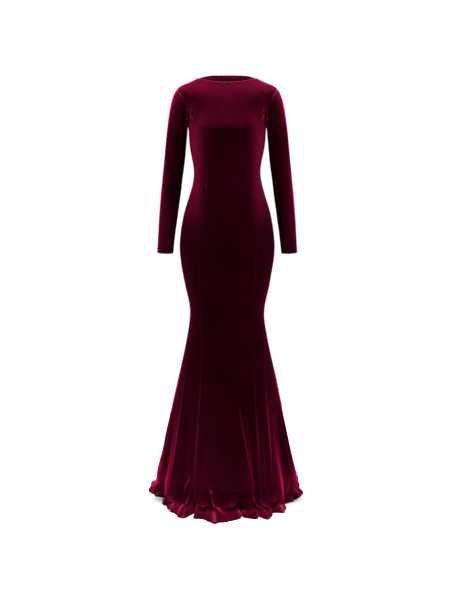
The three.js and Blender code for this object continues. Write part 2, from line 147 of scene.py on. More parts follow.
# The hem's edge on the floor: an oval with notches where a valley folds in, and lobes between them.
HEM_OVAL = dict(half_width=274, front=331, back=336)
HEM_WAVES = table("angle half_angle size", [
    (-92, 13, 16),
    (-66, 7.5, -42),
    (-50, 6, -14),
    (-29, 5, 14),
    (-24.6, 1.6, -54),
    (-17, 5, -14),
    (-8, 2.5, 12),
    (10, 6.5, -34),
    (9.8, 1.5, -46),
    (21.2, 1.5, -42),
    (25, 3, 14),
    (34, 3.5, -14),
    (39, 2, 8),
    (53, 7, -36),
    (65, 7, -12),
    (78, 5, 3),
    (97, 5, -36),
    (113, 8, 12),
    (128, 2.2, -56),
    (144, 7, 12),
    (156, 1.8, -60),
    (173, 7, 8),
    (188, 2.2, -66),
    (205, 6, 10),
    (217, 2, -52),
    (234, 8, 12),
    (251, 4, -44),
])
# Heights that draw the cloth down to the floor: upright over a notch, and rolled over in a lobe.
NOTCH_PULL = (28, 7)
LOBE_PULL = (-30, 60)
FULL_LOBE = 50
LOBE_FOOT = 0.35  # how far out the edge has come where it is drawn down
# How fully a lobe rolls over: the least share, and waves in a turn, each with its shift
LOBE_SHARE = dict(least=0.3, waves=((9, 1.1), (14, 4.0)))

SLEEVE_SECTIONS = table("height out back half_width half_depth", [
    (889, 219, -44, 28.6, 32),
    (930, 216, -36, 29.2, 33.5),
    (1000, 209.8, -20, 32.2, 37),
    (1072, 202.4, -4, 34.6, 40),
    (1142, 194.4, 7, 35.7, 41.5),
    (1212, 185.8, 8, 36.6, 43.5),
    (1290, 178.4, 3, 36.4, 47),
])
CUFF_TILT = 0.05
CUFF_TILT_REACH = 120
SLEEVE_SET_OUT = 0.45
CAP_TOP = dict(out=0.8, down=0.6, reach=92)
CAP_BOTTOM = dict(out=0.32, down=0.95, reach=36)
CAP_END_REACH = dict(top=150, bottom=36)

# Small folds that only the looks need: an oblong bell at an angle and level, with its half length and half
# width along the cloth. It leans from upright towards the wearer's left. A size above 0 is a ridge.
BODY_CREASES = table("angle level lean half_length half_width size", [
    # drags from the front of the armholes
    (-60.3, 1366, -29, 18, 3.6, 4.6),
    (-61, 1391, 32, 9, 3.4, 3.6),
    (-63, 1326, 2, 28, 5, 3),
    (-54, 1358, -24, 14, 4, -2.4),
    (-68, 1352, -24, 12, 4, -3),
    (60.3, 1365, 30, 17, 3.6, 4.6),
    (61.5, 1390, -28, 10, 3.4, 3.6),
    (63, 1328, -3, 27, 5, 3),
    (54, 1356, 26, 14, 4, -2.4),
    (68, 1351, 26, 12, 4, -3),
    # hollows beside the sleeve heads
    (-76, 1404, -6, 26, 12, -4.5),
    (76, 1404, 6, 26, 12, -4.5),
    # the same behind the arms
    (-112, 1364, -44, 16, 4, -2.7),
    (-117, 1342, 30, 15, 5, -1.9),
    (113, 1362, 46, 15, 4, -2.8),
    (118, 1344, -34, 17, 5, -1.7),
    # soft drags at the waist
    (-74, 1188, 78, 24, 9, -0.7),
    (-66, 1164, 70, 20, 8, 0.6),
    (72, 1182, -76, 22, 8, -0.7),
    (108, 1176, 72, 24, 9, -0.9),
    (-110, 1170, -74, 26, 9, -0.8),
    (168, 1150, 82, 28, 8, -0.8),
    (196, 1168, -80, 30, 8, -0.7),
    # sharp folds of the skirt, and the valleys beside them
    (-84, 240, -2, 110, 11, 3.5),
    (-70, 200, -3, 90, 12, -4),
    (-54, 300, -6, 190, 5, 5.5),
    (-40, 200, -4, 110, 10, -4),
    (-29.7, 290, -3.5, 190, 4.4, 5),
    (-33, 98, 24, 28, 5, 4.5),
    (-21, 200, -3, 110, 9, -3.5),
    (-11, 190, -3.5, 90, 8, 2.5),
    (16, 260, -5.5, 150, 4.6, 5),
    (23, 190, -1, 100, 6, -4),
    (30.1, 290, 5, 190, 4.2, 5),
    (35, 200, 6, 110, 7, -3.5),
    (42.5, 285, 8, 185, 5.5, 5.5),
    (60, 190, 4, 90, 12, -4),
    (76, 220, 3, 110, 12, 3.5),
    (112, 300, 4, 140, 9, 6),
    (129, 240, 2, 120, 8, -4),
    (146, 320, -4, 150, 8, 6),
    (158, 230, -2, 120, 8, -4),
    (172, 260, 5, 130, 8, 5.5),
    (188, 240, 2, 120, 8, -4),
    (203, 330, -3, 160, 9, 6),
    (218, 240, 0, 120, 8, -4),
    (234, 280, 4, 130, 8, 5.5),
    (255, 220, -3, 110, 10, 3.5),
    # small folds pressed into the hem's lobes, and pillows of cloth between them
    (-79, 52, 60, 20, 8, 8),
    (-72, 44, 62, 15, 5.2, -4.6),
    (-66, 58, 38, 22, 7, 8),
    (-57, 40, 70, 16, 6, -3.8),
    (-46, 48, 118, 20, 8, 6),
    (-31, 60, 20, 18, 6, 7),
    (-17, 56, 66, 15, 6.5, 9),
    (-9, 62, -32, 34, 7.2, 13),
    (-6, 32, -32, 26, 7.5, 12),
    (3, 61, 76, 22, 7.5, 10),
    (12, 48, 122, 14, 6, -6),
    (22, 50, -34, 22, 5, 7),
    (28, 46, -40, 20, 5, 7),
    (36, 60, 60, 18, 8, 7),
    (46, 36, -66, 16, 6, -4.2),
    (57, 62, 42, 26, 7, 9),
    (68, 44, 130, 24, 7, 8),
    (79, 54, 62, 20, 8, 8),
    (104, 54, 70, 26, 8, 8),
    (120, 42, -60, 20, 5, 8),
    (132, 46, 80, 24, 6, -4.9),
    (146, 60, 118, 24, 7.5, 8),
    (165, 54, 66, 22, 8, 9),
    (175, 48, -36, 34, 7, 9),
    (200, 60, -70, 24, 7, 8),
    (211, 40, 66, 20, 5, 8),
    (226, 56, 116, 24, 8, 8),
    (244, 44, -64, 22, 5, 8),
])
# Ruffles of the hem's edge: uneven small folds, of which a few are dents
RUFFLES = dict(count=54, seed=5, stray=(-2, 2), level=(2, 15), lean=(-16, 16), half_length=(20, 32),
               half_width=(6, 10), size=(5, 10), dents=0.2)
SLEEVE_CREASES = table("phase height lean half_length half_width size", [
    # from the front of the armhole
    (95, 1438, -31, 12, 3.6, 4.4),
    (70, 1422, 14, 14, 3.6, 4),
    (58, 1396, -20, 16, 4, 2.6),
    (80, 1410, -12, 16, 4, -2.6),
    # from its back
    (286, 1350, -48, 16, 5, -2.7),
    (308, 1318, -42, 18, 5, -2.2),
    # hollow in front of the sleeve head
    (100, 1424, 0, 22, 14, -6),
    # inside the elbow
    (88, 1102, 78, 16, 5, -0.9),
    (70, 1078, 84, 18, 5, 0.8),
    (96, 1060, 70, 15, 5, -0.8),
    # at the back of the elbow
    (262, 1096, -76, 18, 6, -0.7),
    (280, 1066, -82, 16, 6, 0.6),
    # above the cuff
    (60, 944, 74, 14, 5, -0.8),
    (112, 930, 82, 14, 5, 0.6),
    (250, 938, -76, 15, 5, -0.7),
    (300, 924, -70, 12, 5, 0.5),
])

# Grids of the cloth: rows and columns of each piece, how closely the cap's rows gather at the armhole, the
# rows of a turned edge and of the facing, and how strongly the columns gather at the seams.
BODY_GRID = dict(hem_rows=64, skirt_rows=250, yoke_steps=48, neck_rows=18,
                 centre_columns=190, side_columns=116)
SLEEVE_GRID = dict(columns=96, cap_rows=56, arm_rows=132, cap_gather=1.3)
TURN_ROWS = 4
FACING_ROWS = 8
GATHER = 0.75

# The seams: how deep the cloth sinks into one, how wide, and how much it puckers.
SEAM = dict(depth=1.4, half_width=2.2, ridge=0.8, ridge_at=5.5, ridge_half_width=3, tuck=6, pucker=0.16,
            pucker_length=19, drift=2, drift_length=31)
# Turned edges: how the cloth's edge rolls in, how far it runs on inside, and where the inside starts.
ROLL_RADIUS = 1.1
ROLL_STEPS = 6
NECK_TURN = 9
CUFF_TURN = 20
HEM_TURN = 14
TURN_START = 1
FACING = dict(level=1488, depth=1.9)
NECK_BEAD = dict(level=1498, half_width=2.6, size=1.3)  # the turned neck edge stands up as a bead
CAP_BLEND = 0.12  # the share of the cap where the sleeve turns away from the armhole
LEAST_HEIGHT = 0.3  # the lowest the cloth lies above the floor
# Steps over which a normal is taken: degrees and millimetres on the body, phase and run on a sleeve
BODY_STEPS = (0.3, 0.6)
SLEEVE_STEPS = (0.02, 0.01)

# A slight ripple of all the cloth: waves in a turn, length up the cloth, shift and size
RIPPLES = table("turns length shift size", [
    (7, 310, 0.4, 0.30),
    (11, -190, 2.1, 0.22),
    (17, 137, 4.4, 0.16),
    (23, -89, 1.3, 0.10),
])

# The pile's colours and how strongly it shines at a slant, on the panels, the sleeves and the turned facing
OUTER_COLORS = dict(dark=(0.009, 0.0002, 0.0016), light=(0.014, 0.0003, 0.0024))
VELVETS = {
    # the panels carry patches of painted light at the sides of the waist and on the hem's side lobes
    "panels": dict(**OUTER_COLORS, sheen=0.62, has_painted_light=True),
    "sleeves": dict(**OUTER_COLORS, sheen=0.46, has_painted_light=False),
    # The turned facing's colours are many times lighter than the outer velvet's: painted light inside the
    # back neck, which lies in shade
    "turned": dict(dark=(0.12, 0.002, 0.02), light=(0.2, 0.004, 0.036), sheen=0.62, has_painted_light=False),
}
PILE = dict(
    roughness=0.9, specular=0.0, sheen_roughness=0.35, sheen_color=(0.34, 0.004, 0.06),
    patch_scale=6, patch_detail=3, patch_range=(0.35, 0.68),
    # a painted highlight: where the mesh is sharply convex, on fold ridges and beside seams, the colour turns
    # lighter
    crest_highlight_color=(0.2, 0.012, 0.05), crest_highlight=(0.518, 0.6),
    nap_scale=900, nap_detail=2, nap_strength=0.25, nap_depth=0.0006,
)
# Patches of painted light on the panels, in metres: their colour is lightened there, standing in for light
# that falls on the sides of the waist and the hem's side lobes. A patch comes in over these distances out
# from the middle, and towards a height.
PAINTED_LIGHT_PATCHES = [
    dict(out=(0.068, 0.118), height=-0.3, up=(0.25, 0.05), color=(0.052, 0.0011, 0.0095)),
    dict(out=(0.14, 0.25), height=-1.46, up=(0.11, 0.03), color=(0.04, 0.0012, 0.0085)),
]

CAMERA = dict(place=(-0.0079, -3.60, -0.213), downward=8.96, lens=60.68, sensor=36)
# Soft boxes: place, aim, size, spread in degrees and power
LIGHTS = [
    ("box_left", (1.1, 0.15, -0.25), (0, 0, -0.3), (0.3, 1.1), 180, 7),
    ("box_right", (-1.1, 0.15, -0.25), (0, 0, -0.3), (0.3, 1.1), 180, 7),
    ("box_waist_left", (0.96, -0.3, 0.3), (0.05, -0.05, -0.33), (0.25, 0.3), 70, 3.6),
    ("box_waist_right", (-0.96, -0.3, 0.3), (-0.05, -0.05, -0.33), (0.25, 0.3), 70, 3.6),
    ("box_top", (0, 0.32, 4.0), (0, 0.04, 0), (0.7, 0.43), 180, 2950),
]
# The surroundings: white at the horizon, and dimmer from a little above it
HORIZON_LIGHT = 1.05
SKY_LIGHT = 0.12
SKY_RISE = (0.14, 0.4)
FLOOR_COLOR = (0.22, 0.22, 0.22, 1)
FLOOR_ROUGHNESS = 0.9
FLOOR_SIZE = 2.4


def turn(angle):
    return (angle + 180) % 360 - 180


def bell(x):
    return np.exp(-x**2)


def mix(a, b, share):
    return a + (b - a) * share


def smooth_step(x, low, high):
    t = np.clip((x - low) / (high - low), 0, 1)
    return t * t * (3 - 2 * t)


def spline(x, y):
    """A natural cubic through the points of a table."""
    step = np.diff(x)
    slope = np.diff(y) / step
    last = len(x) - 1
    system = np.eye(last + 1)
    target = np.zeros(last + 1)
    for i in range(1, last):
        system[i, i - 1:i + 2] = step[i - 1], 2 * (step[i - 1] + step[i]), step[i]
        target[i] = 6 * (slope[i] - slope[i - 1])
    bend = np.linalg.solve(system, target)

    def at(v):
        i = np.clip(np.searchsorted(x, v) - 1, 0, last - 1)
        b = (v - x[i]) / step[i]
        a = 1 - b
        curve = ((a**3 - a) * bend[i] + (b**3 - b) * bend[i + 1]) * step[i]**2 / 6
        return a * y[i] + b * y[i + 1] + curve

    return at


def splines(rows, by):
    return {key: spline(rows[by], rows[key]) for key in rows if key != by}


section = splines(SECTIONS, "level")
princess = splines(PRINCESS, "level")
sleeve = splines(SLEEVE_SECTIONS, "height")


def plain_radius(angle, level):
    """The radius of a section without folds."""
    across = np.abs(np.sin(np.radians(angle)))
    along = np.cos(np.radians(angle))
    depth = np.where(along > 0, section["front"](level), section["back"](level))
    power = section["square"](level)
    shape = (across / section["half_width"](level))**power + (np.abs(along) / depth)**power
    return shape**(-1 / power)


def angle_across(distance, level, depth):
    """The angle where a section's outline is a given distance from the middle."""
    power = section["square"](level)
    along = depth * (1 - (distance / section["half_width"](level))**power)**(1 / power)
    return np.degrees(np.arctan2(distance, along))


def armhole_at(phase):
    """The armhole's level and half opening. The phase runs from 0 at the underarm to pi at the shoulder."""
    turned = np.where(phase > np.pi, 2 * np.pi - phase, phase)
    rise = (turned / np.pi + (1 - np.cos(turned)) / 2) / 2
    opening = ARMHOLE_HALF_ANGLE * np.sqrt(np.maximum(0, 1 - (1 - 2 * rise)**2))
    return mix(UNDERARM_LEVEL, SHOULDER_LEVEL, rise), np.where(phase > np.pi, -opening, opening)


JUNCTION_LEVEL, JUNCTION_OPEN = (float(v) for v in armhole_at(ARMHOLE_JUNCTION * np.pi))


def seam_angles(level):
    """The angles of the front and back princess seams below their ends at the armhole."""
    near = smooth_step(level, SEAM_TURN_LEVEL, JUNCTION_LEVEL)
    front = angle_across(princess["front"](level), level, section["front"](level))
    back = 180 - angle_across(princess["back"](level), level, section["back"](level))
    reach = JUNCTION_OPEN + ARMHOLE_TIP
    return mix(front, 90 - reach, near), mix(back, 90 + reach, near)


def follow_seams(angle, level):
    """Carries an angle at the hem up the panels, so that a flute keeps its place between two seams."""
    low_front, low_back = (float(v) for v in seam_angles(np.array(0.0)))
    front, back = seam_angles(np.minimum(level, UNDERARM_LEVEL))
    stops = [-180, -low_back, -90, -low_front, low_front, 90, low_back, 180]
    moved = [-180, -back, -90, -front, front, 90, back, 180]
    i = int(np.clip(np.searchsorted(stops, turn(angle)) - 1, 0, len(stops) - 2))
    return mix(moved[i], moved[i + 1], (turn(angle) - stops[i]) / (stops[i + 1] - stops[i]))


def flute_depth(angle, level):
    depth = np.zeros_like(angle)
    for middle, half_angle, size, top in zip(*FLUTES.values()):
        reach = np.maximum(0, 1 - level / top)**FLUTE_FADE
        width = half_angle * (1 + FLUTE_SPREAD * level / top)
        depth += size * reach * bell(turn(angle - follow_seams(middle, level)) / width)
    return depth


def bust_depth(angle, level):
    across = plain_radius(angle, level) * np.sin(np.radians(angle))
    rise = level - BUST["level"]
    up = bell(rise / np.where(rise > 0, BUST["above"], BUST["below"]))
    wide = np.exp(-(across / BUST["half_width"])**4)
    shape = BUST["size"] * wide - BUST["dip"] * bell(across / BUST["dip_half_width"])
    return np.where(np.abs(turn(angle)) < 90, up * shape, 0)


def hem_radius(angle):
    along = np.cos(np.radians(angle))
    depth = np.where(along > 0, HEM_OVAL["front"], HEM_OVAL["back"])
    radius = 1 / np.hypot(np.sin(np.radians(angle)) / HEM_OVAL["half_width"], along / depth)
    for middle, half_angle, size in zip(*HEM_WAVES.values()):
        radius += size * bell(turn(angle - middle) / half_angle)
    return radius


def lobe_share(angle):
    """How fully the hem rolls over, which changes from lobe to lobe."""
    share = LOBE_SHARE["least"]
    part = (1 - share) / (2 * len(LOBE_SHARE["waves"]))
    for waves, shift in LOBE_SHARE["waves"]:
        share = share + part * (1 + np.sin(np.radians(waves * angle) + shift))
    return share


def bezier(a, b, c, d, t):
    return a * (1 - t)**3 + 3 * b * t * (1 - t)**2 + 3 * c * t**2 * (1 - t) + d * t**3


def body_points(angle, level):
    """Points of the body's outer face, for an array of angles and a level, or one for each angle or row."""
    upper = np.maximum(level, HEM_BREAK)
    radius = plain_radius(angle, upper) + flute_depth(angle, upper)
    across = np.minimum(1, np.abs(np.sin(np.radians(angle))) * radius / section["half_width"](upper))
    on_back = np.cos(np.radians(angle)) < 0
    middle = np.where(on_back, section["nape"](upper), section["middle"](upper))
    height = mix(middle, section["side"](upper), across**np.where(on_back, BACK_BEND, FRONT_BEND))
    above = plain_radius(angle, HEM_BREAK + 1.0) + flute_depth(angle, HEM_BREAK + 1.0)
    share = 1 - np.minimum(level, HEM_BREAK) / HEM_BREAK
    spread = hem_radius(angle) - radius
    lobe = smooth_step(spread, 0, FULL_LOBE) * lobe_share(angle)
    low_radius = bezier(radius, radius + (radius - above) * HEM_BREAK / 2, radius + LOBE_FOOT * spread,
                        radius + spread, share)
    low_height = bezier(HEM_BREAK, mix(NOTCH_PULL[0], LOBE_PULL[0], lobe),
                        mix(NOTCH_PULL[1], LOBE_PULL[1], lobe), HEM_LIFT, share)
    is_low = level < HEM_BREAK
    radius = np.where(is_low, low_radius, radius + bust_depth(angle, upper))
    height = np.where(is_low, low_height, height)
    height = np.broadcast_to(height, radius.shape)
    return np.stack([radius * np.sin(np.radians(angle)), -radius * np.cos(np.radians(angle)), height], -1)


def crease_depth(creases, a, b, scale):
    """How far small folds push the cloth out. a is an angle, scale its length in millimetres a degree."""
    depth = np.zeros_like(a)
    for middle, level, lean, half_length, half_width, size in zip(*creases.values()):
        across = turn(a - middle) * scale
        up = b - level
        c, s = math.cos(math.radians(lean)), math.sin(math.radians(lean))
        depth += size * bell((across * s + up * c) / half_length) * bell((across * c - up * s) / half_width)
    return depth


def ruffle_rows():
    """The ruffles as rows like those of the creases."""
    chance = np.random.default_rng(RUFFLES["seed"])
    count = RUFFLES["count"]
    rows = {"angle": np.linspace(-180, 180, count, endpoint=False) + chance.uniform(*RUFFLES["stray"], count)}
    for key in ("level", "lean", "half_length", "half_width", "size"):
        rows[key] = chance.uniform(*RUFFLES[key], count)
    rows["size"] = np.where(chance.random(count) < RUFFLES["dents"], -rows["size"], rows["size"])
    return rows


def normals(face, a, b, step_a, step_b):
    """Outward normals of a face given by two numbers."""
    along_a = face(a + step_a, b) - face(a - step_a, b)
    along_b = face(a, b + step_b) - face(a, b - step_b)
    normal = np.cross(along_a, along_b)
    return normal / np.linalg.norm(normal, axis=-1, keepdims=True)


def body_normals(angle, level):
    return normals(body_points, angle, np.clip(level, 1, NECK_LEVEL - 1), *BODY_STEPS)


def armhole_points(phase):
    level, opening = armhole_at(phase)
    points = body_points(90 - opening, level)
    points[..., 0] += SLEEVE_SET_OUT
    return points


def arm_points(phase, height):
    """The left sleeve below the cap, for arrays of phases and heights."""
    cuff = SLEEVE_SECTIONS["height"][0]
    inward = np.cos(phase) * sleeve["half_width"](height)
    across = sleeve["out"](height) - inward
    along = sleeve["back"](height) - np.sin(phase) * sleeve["half_depth"](height)
    lift = CUFF_TILT * (1 - smooth_step(height, cuff, cuff + CUFF_TILT_REACH)) * inward
    return np.stack([across, along, height - lift], -1)


def sleeve_points(phase, run):
    """The left sleeve. Run goes from 0 at the armhole to 1 at the cap's end and 2 at the cuff."""
    phase, run = np.broadcast_arrays(np.asarray(phase, float), np.asarray(run, float))
    cuff, cap_end = SLEEVE_SECTIONS["height"][[0, -1]]
    below = arm_points(phase, mix(cap_end, cuff, np.maximum(run, 1) - 1))
    up = (1 - np.cos(phase)) / 2
    zero = np.zeros_like(up)
    leave = np.stack([
        mix(CAP_BOTTOM["out"] * CAP_BOTTOM["reach"], CAP_TOP["out"] * CAP_TOP["reach"], up),
        zero,
        -mix(CAP_BOTTOM["down"] * CAP_BOTTOM["reach"], CAP_TOP["down"] * CAP_TOP["reach"], up),
    ], -1)
    end = arm_points(phase, cap_end + zero)
    arrive = arm_points(phase, cap_end - 1 + zero) - end
    arrive = arrive * mix(CAP_END_REACH["bottom"], CAP_END_REACH["top"], up)[..., None]
    t = np.minimum(run, 1)[..., None]
    cap = (armhole_points(phase) * (2 * t**3 - 3 * t**2 + 1) + leave * (t**3 - 2 * t**2 + t)
           + end * (3 * t**2 - 2 * t**3) + arrive * (t**3 - t**2))
    return np.where((run >= 1)[..., None], below, cap)


def sleeve_normals(phase, run):
    """Outward normals of the left sleeve, whose rows run downwards."""
    room = 2 * SLEEVE_STEPS[1]
    return -normals(sleeve_points, phase, np.clip(run, room, 2 - room), *SLEEVE_STEPS)


def unevenness(angle, level):
    """The slight ripple of cloth that never hangs quite smooth."""
    depth = np.zeros_like(angle)
    for turns, length, shift, size in zip(*RIPPLES.values()):
        depth += size * np.sin(np.radians(turns * angle) + 2 * np.pi * level / length + shift)
    return depth


def seam_depth(distance, level):
    """How deep the cloth sinks near a seam, with the uneven puckers of its stitches."""
    drift = SEAM["drift"] * np.sin(level / SEAM["drift_length"])
    pucker = 1 + SEAM["pucker"] * np.sin(2 * np.pi * level / SEAM["pucker_length"] + drift)
    ridge = SEAM["ridge"] * bell((distance - SEAM["ridge_at"]) / SEAM["ridge_half_width"])
    return (SEAM["depth"] * bell(distance / SEAM["half_width"]) - ridge) * pucker


def dressed_body(angle, level, distance, depth=0):
    """The body's cloth with its creases and seams, at a depth below its face."""
    scale = np.radians(1) * plain_radius(angle, np.maximum(level, HEM_BREAK))
    out = crease_depth(BODY_CREASES, angle, level, scale) + crease_depth(HEM_RUFFLES, angle, level, scale)
    out = out + unevenness(angle, level)
    bead = NECK_BEAD["size"] * bell((level - NECK_BEAD["level"]) / NECK_BEAD["half_width"])
    out = out + bead - seam_depth(distance, level) - depth
    return body_points(angle, level) + body_normals(angle, level) * out[..., None]


def dressed_sleeve(phase, run, depth=0):
    """The left sleeve's cloth. At the armhole it sinks along the body's normal, to meet the panels."""
    phase, run = np.broadcast_arrays(phase, run)
    cuff, cap_end = SLEEVE_SECTIONS["height"][[0, -1]]
    height = cap_end + (1 - run) * np.where(run > 1, cap_end - cuff, SHOULDER_LEVEL - cap_end)
    angle = np.degrees(phase)
    around = np.radians(1) * sleeve["half_depth"](cap_end)
    out = crease_depth(SLEEVE_CREASES, angle, height, around) + unevenness(angle, height)
    from_armhole = run * (SHOULDER_LEVEL - cap_end)
    from_underarm = np.abs(turn(angle)) * around
    out -= seam_depth(from_armhole, height) + seam_depth(from_underarm, height) / 2 + depth
    level, opening = armhole_at(phase)
    own = smooth_step(run, 0, CAP_BLEND)[..., None]
    normal = mix(body_normals(90 - opening, level), sleeve_normals(phase, run), own)
    normal /= np.linalg.norm(normal, axis=-1, keepdims=True)
    return sleeve_points(phase, run) + normal * out[..., None]


def curl(edge, onward, normal):
    """Rows that roll an edge of the cloth inwards, from the edge on."""
    onward = onward / np.linalg.norm(onward, axis=-1, keepdims=True)
    rows = []
    for turned in np.linspace(0, np.pi, ROLL_STEPS + 1)[1:]:
        rows.append(edge + ROLL_RADIUS * (math.sin(turned) * onward - (1 - math.cos(turned)) * normal))
    return np.array(rows)


def grid_object(name, rows, is_tube=False):
    """A mesh through rows of points in millimetres above the floor, placed in the frame."""
    count_rows, count = rows.shape[:2]
    number = np.arange(count_rows * count).reshape(count_rows, count)
    right = np.roll(number, -1, axis=1)
    if not is_tube:
        number, right = number[:, :-1], right[:, :-1]
    faces = np.stack([number[:-1], right[:-1], right[1:], number[1:]], -1).reshape(-1, 4)
    points = rows.reshape(-1, 3) - (0, 0, HELD_HEIGHT)
    mesh = bpy.data.meshes.new(name)
    mesh.from_pydata((points / 1000).tolist(), [], faces.tolist())
    mesh.polygons.foreach_set("use_smooth", [True] * len(faces))
    obj = bpy.data.objects.new(name, mesh)
    bpy.context.scene.collection.objects.link(obj)
    return obj


def gathered_shares(columns):
    """Shares from 0 to 1 that lie closer together near both ends."""
    even = np.linspace(0, 1, columns)
    return mix(even, (1 - np.cos(np.pi * even)) / 2, GATHER)


def panel_rows(edges, levels, columns, has_neck):
    """Rows of a body panel between two seams, with its turned hem and, on a centre panel, its turned neck.

    Beyond each seam the cloth turns inside, in one more column of points."""
    share = np.concatenate([[0], gathered_shares(columns), [1]])
    sunk = np.zeros(len(share))
    sunk[[0, -1]] = SEAM["tuck"]

    def at(level, depth=0):
        level = np.asarray(level, float)[:, None]
        start, end = edges(level)
        angle = start + (end - start) * share
        radius = plain_radius(angle, np.maximum(level, HEM_BREAK))
        distance = np.radians(np.minimum(angle - start, end - angle)) * radius
        return dressed_body(angle, level, distance, depth + sunk)

    face = at(levels)
    hem = curl(face[0], face[0] - face[1], at([0], -1)[0] - face[0])
    parts = [at(np.linspace(HEM_TURN, TURN_START, TURN_ROWS), 2 * ROLL_RADIUS), hem[::-1], face]
    if has_neck:
        parts.append(curl(face[-1], face[-1] - face[-2], at([NECK_LEVEL], -1)[0] - face[-1]))
        neck_levels = np.linspace(NECK_LEVEL - TURN_START, NECK_LEVEL - NECK_TURN, TURN_ROWS)
        parts.append(at(neck_levels, 2 * ROLL_RADIUS))
    rows = np.concatenate(parts)
    rows[..., 2] = np.maximum(rows[..., 2], LEAST_HEIGHT)
    return rows


def centre_edges(level, on_back):
    front, back = seam_angles(np.minimum(level, JUNCTION_LEVEL))
    opening = np.interp(level, ARMHOLE_LEVELS, ARMHOLE_OPENINGS, right=0)
    above = level > JUNCTION_LEVEL + LEVEL_ROOM
    if on_back:
        seam = np.where(above, 90 + opening, back)
        return seam, 360 - seam
    seam = np.where(above, 90 - opening, front)
    return -seam, seam


def side_edges(level, on_back):
    front, back = seam_angles(level)
    opening = np.interp(level, ARMHOLE_LEVELS, ARMHOLE_OPENINGS)
    return (90 + opening, back) if on_back else (front, 90 - opening)


def add_centre_panel(name, on_back):
    def edges(level):
        return centre_edges(level, on_back)

    return grid_object(name, panel_rows(edges, CENTRE_LEVELS, BODY_GRID["centre_columns"], True))


def add_side_panel(name, on_back, is_right):
    def edges(level):
        start, end = side_edges(level, on_back)
        return (-end, -start) if is_right else (start, end)

    return grid_object(name, panel_rows(edges, SIDE_LEVELS, BODY_GRID["side_columns"], False))


def add_sleeve(name, is_right):
    phase = np.linspace(0, 2 * np.pi, SLEEVE_GRID["columns"], endpoint=False)
    cap = np.linspace(0, 1, SLEEVE_GRID["cap_rows"])**SLEEVE_GRID["cap_gather"]
    run = np.concatenate([np.linspace(2, 1, SLEEVE_GRID["arm_rows"])[:-1], cap[::-1]])[:, None]
    face = dressed_sleeve(phase, run)
    cuff = curl(face[0], face[0] - face[1], dressed_sleeve(phase, 2.0, -1) - face[0])
    length = np.ptp(SLEEVE_SECTIONS["height"])
    turned = np.linspace(2 - CUFF_TURN / length, 2, TURN_ROWS)[:, None]
    inside = dressed_sleeve(phase, turned, 2 * ROLL_RADIUS)
    tucked = dressed_sleeve(phase, 0.0, SEAM["tuck"])
    rows = np.concatenate([inside, cuff[::-1], face, tucked[None]])
    if is_right:
        rows = rows[:, ::-1] * (-1, 1, 1)
    return grid_object(name, rows, is_tube=True)


def add_facing(name):
    """The strip inside the back neck edge, with its free lower edge turned under."""
    def at(level, depth):
        level = np.asarray(level, float)[:, None]
        start, end = centre_edges(level, True)
        angle = start + (end - start) * np.linspace(0, 1, BODY_GRID["centre_columns"])
        return dressed_body(angle, level, np.inf, depth)

    levels = np.linspace(NECK_LEVEL - ROLL_RADIUS, FACING["level"], FACING_ROWS)
    inner_depth = FACING["depth"] + 2 * ROLL_RADIUS
    inside = at(levels, inner_depth)
    inward = at([FACING["level"]], inner_depth + 1)[0] - inside[-1]
    under = at(levels[::-1], FACING["depth"])
    edge = curl(inside[-1], inside[-1] - inside[-2], inward)
    return grid_object(name, np.concatenate([inside, edge[:-1], under]))


HEM_RUFFLES = ruffle_rows()

# Rows of the body: close together at the hem, even on the skirt and body, and the armhole's own above.
ARMHOLE_LEVELS, ARMHOLE_OPENINGS = armhole_at(np.linspace(0, np.pi, BODY_GRID["yoke_steps"] + 1))
LOWER_LEVELS = np.concatenate([
    np.linspace(0, HEM_BREAK, BODY_GRID["hem_rows"])[:-1],
    np.linspace(HEM_BREAK, UNDERARM_LEVEL, BODY_GRID["skirt_rows"])[:-1],
])
SIDE_LEVELS = np.concatenate([LOWER_LEVELS, ARMHOLE_LEVELS[ARMHOLE_LEVELS < JUNCTION_LEVEL + LEVEL_ROOM]])
CENTRE_LEVELS = np.concatenate([
    LOWER_LEVELS, ARMHOLE_LEVELS, np.linspace(SHOULDER_LEVEL, NECK_LEVEL, BODY_GRID["neck_rows"])[1:],
])


def distance_share(tree, value, middle, start, end):
    """A share from 0 to 1, while a value's distance from the middle goes from start to end."""
    offset = tree.nodes.new("ShaderNodeMath")
    offset.operation = "SUBTRACT"
    offset.inputs[1].default_value = middle
    distance = tree.nodes.new("ShaderNodeMath")
    distance.operation = "ABSOLUTE"
    share = tree.nodes.new("ShaderNodeMapRange")
    share.interpolation_type = "SMOOTHSTEP"
    share.inputs["From Min"].default_value = start
    share.inputs["From Max"].default_value = end
    tree.links.new(value, offset.inputs[0])
    tree.links.new(offset.outputs["Value"], distance.inputs[0])
    tree.links.new(distance.outputs["Value"], share.inputs["Value"])
    return share.outputs["Result"]


def mixed_color(tree, share, color, other):
    """A colour socket mixed with a fixed colour."""
    blend = tree.nodes.new("ShaderNodeMix")
    blend.data_type = "RGBA"
    blend.inputs["B"].default_value = (*other, 1)
    tree.links.new(share, blend.inputs["Factor"])
    tree.links.new(color, blend.inputs["A"])
    return blend.outputs["Result"]


def paint_light_patches(tree, place, color):
    """Lightens a colour with patches of painted light."""
    split = tree.nodes.new("ShaderNodeSeparateXYZ")
    tree.links.new(place, split.inputs["Vector"])
    for patch in PAINTED_LIGHT_PATCHES:
        both = tree.nodes.new("ShaderNodeMath")
        both.operation = "MULTIPLY"
        tree.links.new(distance_share(tree, split.outputs["X"], 0, *patch["out"]), both.inputs[0])
        near = distance_share(tree, split.outputs["Z"], patch["height"], *patch["up"])
        tree.links.new(near, both.inputs[1])
        color = mixed_color(tree, both.outputs["Value"], color, patch["color"])
    return color


